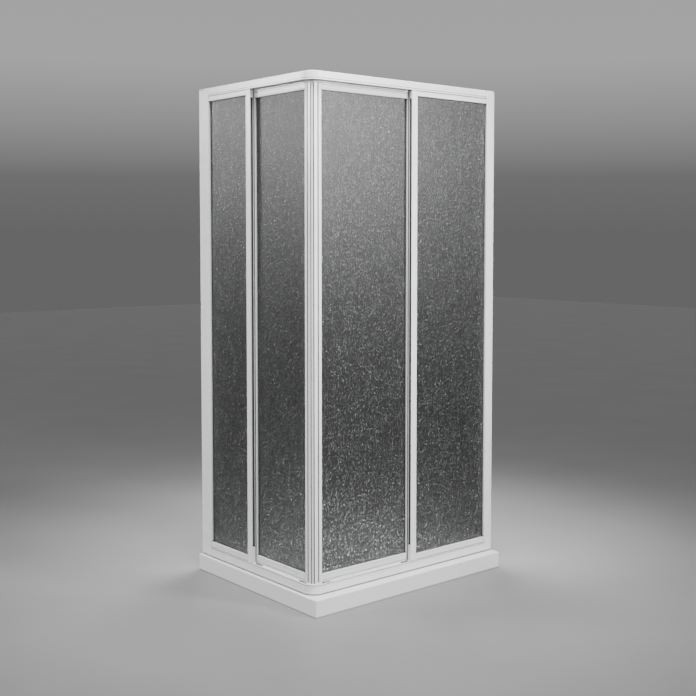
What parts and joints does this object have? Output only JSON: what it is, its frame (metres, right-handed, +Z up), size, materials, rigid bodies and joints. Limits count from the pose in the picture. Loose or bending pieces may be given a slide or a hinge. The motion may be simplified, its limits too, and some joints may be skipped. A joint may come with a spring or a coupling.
{
  "type": "corner shower enclosure",
  "caption": "Corner entry shower enclosure with two sliding raindrop acrylic doors that meet on a mitre, fixed side panels, white profiles and a low shower tray.",
  "frame": {"origin": "middle of the shower tray's underside, on the floor", "axes": "+X along the front glazed side towards its wall, +Y along the other glazed side towards its wall, +Z up; the near corner lies at -X -Y"},
  "size_m": [0.9424, 0.7556, 1.915],
  "materials": {
    "white_profile": "gloss white powder coat",
    "white_tray": "gloss white sanitary acrylic",
    "chrome_waste": "polished",
    "white_nylon": "moulded white",
    "white_strip": "soft white strip",
    "rain_acrylic": "raindrop textured clear acrylic",
    "grey_gasket": "soft grey",
    "grey_rubber": "matte dark grey",
    "steel": "plated"
  },
  "bodies": {
    "enclosure": {"shower_tray": "white_tray", "waste_body": "chrome_waste", "waste_cover": "chrome_waste", "front_wall_channel": "white_profile", "side_wall_channel": "white_profile", "front_jamb": "white_profile", "side_jamb": "white_profile", "jamb_caps": "white_nylon", "front_top_rail": "white_profile", "side_top_rail": "white_profile", "front_bottom_rail": "white_profile", "side_bottom_rail": "white_profile", "top_corner_joint": "white_nylon", "bottom_corner_joint": "white_nylon", "front_fixed_panel": "rain_acrylic", "side_fixed_panel": "rain_acrylic", "front_fixed_gasket": "grey_gasket", "side_fixed_gasket": "grey_gasket", "front_fixed_stile": "white_profile", "side_fixed_stile": "white_profile", "front_top_bead": "white_profile", "side_top_bead": "white_profile", "front_bottom_bead": "white_profile", "side_bottom_bead": "white_profile", "front_brush_seal": "grey_rubber", "side_brush_seal": "grey_rubber", "stile_end_blocks": "white_nylon", "jamb_screws": "steel", "rail_screws": "steel", "corner_screws": "steel", "front_track_stops": "grey_rubber", "side_track_stops": "grey_rubber"},
    "front_door": {"front_door_panel": "rain_acrylic", "front_door_gasket": "grey_gasket", "front_door_top_rail": "white_profile", "front_door_bottom_rail": "white_profile", "front_closing_stile": "white_profile", "front_trailing_stile": "white_profile", "front_magnet_strip": "white_strip", "front_hangers": "steel", "front_axles": "steel", "front_guide_shoes": "white_nylon", "front_door_screws": "steel"},
    "front_lead_roller": {"front_lead_roller": "white_nylon"},
    "front_trail_roller": {"front_trail_roller": "white_nylon"},
    "side_door": {"side_door_panel": "rain_acrylic", "side_door_gasket": "grey_gasket", "side_door_top_rail": "white_profile", "side_door_bottom_rail": "white_profile", "side_closing_stile": "white_profile", "side_trailing_stile": "white_profile", "side_magnet_strip": "white_strip", "side_hangers": "steel", "side_axles": "steel", "side_guide_shoes": "white_nylon", "side_door_screws": "steel"},
    "side_lead_roller": {"side_lead_roller": "white_nylon"},
    "side_trail_roller": {"side_trail_roller": "white_nylon"}
  },
  "joints": [
    {"name": "front_door_slide", "type": "slide", "parent": "enclosure", "child": "front_door", "axis": [1, 0, 0], "range_m": [0, 0.3817]},
    {"name": "front_lead_roller_spin", "type": "hinge", "parent": "front_door", "child": "front_lead_roller", "pos_m": [-0.36825, -0.30055, 1.8923], "axis": [0, 1, 0], "range_deg": [0, 2490]},
    {"name": "front_trail_roller_spin", "type": "hinge", "parent": "front_door", "child": "front_trail_roller", "pos_m": [0.01525, -0.30055, 1.8923], "axis": [0, 1, 0], "range_deg": [0, 2490]},
    {"name": "side_door_slide", "type": "slide", "parent": "enclosure", "child": "side_door", "axis": [0, 1, 0], "range_m": [0, 0.2552]},
    {"name": "side_lead_roller_spin", "type": "hinge", "parent": "side_door", "child": "side_lead_roller", "pos_m": [-0.42105, -0.24775, 1.8923], "axis": [1, 0, 0], "range_deg": [-1667, 0]},
    {"name": "side_trail_roller_spin", "type": "hinge", "parent": "side_door", "child": "side_trail_roller", "pos_m": [-0.42105, 0.02275, 1.8923], "axis": [1, 0, 0], "range_deg": [-1667, 0]}
  ],
  "couplings": [
    {"joint": "front_lead_roller_spin", "follows": "front_door_slide", "rad_per_m": 113.64},
    {"joint": "front_trail_roller_spin", "follows": "front_door_slide", "rad_per_m": 113.64},
    {"joint": "side_lead_roller_spin", "follows": "side_door_slide", "rad_per_m": -113.64},
    {"joint": "side_trail_roller_spin", "follows": "side_door_slide", "rad_per_m": -113.64}
  ]
}
